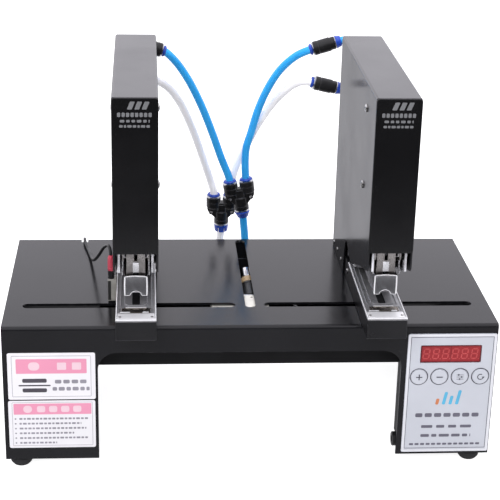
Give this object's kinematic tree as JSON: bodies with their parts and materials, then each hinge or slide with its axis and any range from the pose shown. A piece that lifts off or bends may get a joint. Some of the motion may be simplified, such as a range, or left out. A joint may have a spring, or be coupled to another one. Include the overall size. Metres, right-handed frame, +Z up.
{
  "type": "pneumatic bench stapler",
  "caption": "Long-reach bench stapler: twin air-driven stapling heads that slide along a slotted steel table, with a keypad and display on one leg.",
  "frame": {"origin": "centre of the footprint, on the plane the rubber feet stand on", "axes": "+X along the bench to the operator's right, +Y away from the operator, +Z up"},
  "size_m": [0.4, 0.2519, 0.3203],
  "materials": {
    "black_paint": "gloss black powder paint, light orange peel",
    "arm_paint": "satin black",
    "chrome_plate": "bright plating",
    "plated_steel": "zinc plated, fine grain",
    "cylinder_alloy": "anodised",
    "foot_rubber": "matte",
    "fitting_black": "moulded",
    "panel_film": "printed film",
    "display_red": "tinted window",
    "button_cap": "moulded, printed symbol",
    "board_green": "solder mask",
    "valve_ivory": "satin",
    "hose_blue": "polyurethane, translucent",
    "hose_clear": "polyurethane, milky clear",
    "cable_black": "satin sheath",
    "switch_body": "moulded"
  },
  "bodies": {
    "root": {"table_shell": "black_paint", "foot_front_left": "foot_rubber", "foot_front_right": "foot_rubber", "foot_rear_left": "foot_rubber", "foot_rear_right": "foot_rubber", "under_tray": "arm_paint", "valve_body": "valve_ivory", "valve_coil": "fitting_black", "control_box": "arm_paint", "power_socket": "fitting_black", "control_panel": "panel_film", "display_window": "display_red", "circuit_board": "board_green", "y_union_blue": "fitting_black", "y_union_clear": "fitting_black", "hose_left_blue": "hose_blue", "hose_left_clear": "hose_clear", "hose_right_blue": "hose_blue", "hose_right_clear": "hose_clear", "supply_hose_blue": "hose_blue", "supply_hose_clear": "hose_clear", "switch_cable": "cable_black"},
    "button_1": {"button_1": "button_cap"},
    "button_2": {"button_2": "button_cap"},
    "button_3": {"button_3": "button_cap"},
    "button_4": {"button_4": "button_cap"},
    "left_head": {"left_housing": "black_paint", "left_front_cover": "black_paint", "left_inner_frame": "chrome_plate", "left_air_cylinder": "cylinder_alloy", "left_arm_block": "arm_paint", "left_clamp_bar": "plated_steel", "left_base_plate": "chrome_plate", "left_anvil": "plated_steel", "left_hinge_pin": "chrome_plate", "left_lift_spring": "plated_steel", "left_union_upper": "fitting_black", "left_union_lower": "fitting_black", "paper_switch": "switch_body"},
    "left_magazine": {"left_magazine": "chrome_plate"},
    "left_follower": {"left_follower": "plated_steel"},
    "left_driver": {"left_driver": "plated_steel"},
    "left_ram": {"left_ram": "chrome_plate"},
    "right_head": {"right_housing": "black_paint", "right_front_cover": "black_paint", "right_inner_frame": "chrome_plate", "right_air_cylinder": "cylinder_alloy", "right_arm_block": "arm_paint", "right_clamp_bar": "plated_steel", "right_base_plate": "chrome_plate", "right_anvil": "plated_steel", "right_hinge_pin": "chrome_plate", "right_lift_spring": "plated_steel", "right_union_upper": "fitting_black", "right_union_lower": "fitting_black"},
    "right_magazine": {"right_magazine": "chrome_plate"},
    "right_follower": {"right_follower": "plated_steel"},
    "right_driver": {"right_driver": "plated_steel"},
    "right_ram": {"right_ram": "chrome_plate"}
  },
  "joints": [
    {"name": "button_1_press", "type": "slide", "parent": "root", "child": "button_1", "axis": [0, 1, 0], "range_m": [0, 0.001], "stiffness_N_per_m": 300},
    {"name": "button_2_press", "type": "slide", "parent": "root", "child": "button_2", "axis": [0, 1, 0], "range_m": [0, 0.001], "stiffness_N_per_m": 300},
    {"name": "button_3_press", "type": "slide", "parent": "root", "child": "button_3", "axis": [0, 1, 0], "range_m": [0, 0.001], "stiffness_N_per_m": 300},
    {"name": "button_4_press", "type": "slide", "parent": "root", "child": "button_4", "axis": [0, 1, 0], "range_m": [0, 0.001], "stiffness_N_per_m": 300},
    {"name": "left_head_slide", "type": "slide", "parent": "root", "child": "left_head", "axis": [1, 0, 0], "range_m": [-0.035, 0.045], "deforming": ["hose_left_blue", "hose_left_clear", "switch_cable"]},
    {"name": "left_ram_stroke", "type": "slide", "parent": "left_head", "child": "left_ram", "axis": [0, 0, -1], "range_m": [0, 0.0189]},
    {"name": "left_driver_swing", "type": "hinge", "parent": "left_head", "child": "left_driver", "pos_m": [-0.0931, -0.0037, 0.151], "axis": [1, 0, 0], "range_deg": [0, 11.25]},
    {"name": "left_magazine_swing", "type": "hinge", "parent": "left_head", "child": "left_magazine", "pos_m": [-0.0931, -0.0037, 0.151], "axis": [1, 0, 0], "range_deg": [0, 6.35], "deforming": ["left_lift_spring"]},
    {"name": "left_follower_slide", "type": "slide", "parent": "left_magazine", "child": "left_follower", "axis": [0, -1, 0], "range_m": [-0.02, 0.026]},
    {"name": "right_head_slide", "type": "slide", "parent": "root", "child": "right_head", "axis": [1, 0, 0], "range_m": [-0.045, 0.035], "deforming": ["hose_right_blue", "hose_right_clear"]},
    {"name": "right_ram_stroke", "type": "slide", "parent": "right_head", "child": "right_ram", "axis": [0, 0, -1], "range_m": [0, 0.0189]},
    {"name": "right_driver_swing", "type": "hinge", "parent": "right_head", "child": "right_driver", "pos_m": [0.10355, -0.0037, 0.151], "axis": [1, 0, 0], "range_deg": [0, 11.25]},
    {"name": "right_magazine_swing", "type": "hinge", "parent": "right_head", "child": "right_magazine", "pos_m": [0.10355, -0.0037, 0.151], "axis": [1, 0, 0], "range_deg": [0, 6.35], "deforming": ["right_lift_spring"]},
    {"name": "right_follower_slide", "type": "slide", "parent": "right_magazine", "child": "right_follower", "axis": [0, -1, 0], "range_m": [-0.02, 0.026]}
  ],
  "couplings": [
    {"joint": "left_driver_swing", "follows": "left_ram_stroke", "rad_per_m": 10.342},
    {"joint": "left_magazine_swing", "follows": "left_ram_stroke", "rad_per_m": 5.8175},
    {"joint": "right_driver_swing", "follows": "right_ram_stroke", "rad_per_m": 10.342},
    {"joint": "right_magazine_swing", "follows": "right_ram_stroke", "rad_per_m": 5.8175}
  ]
}
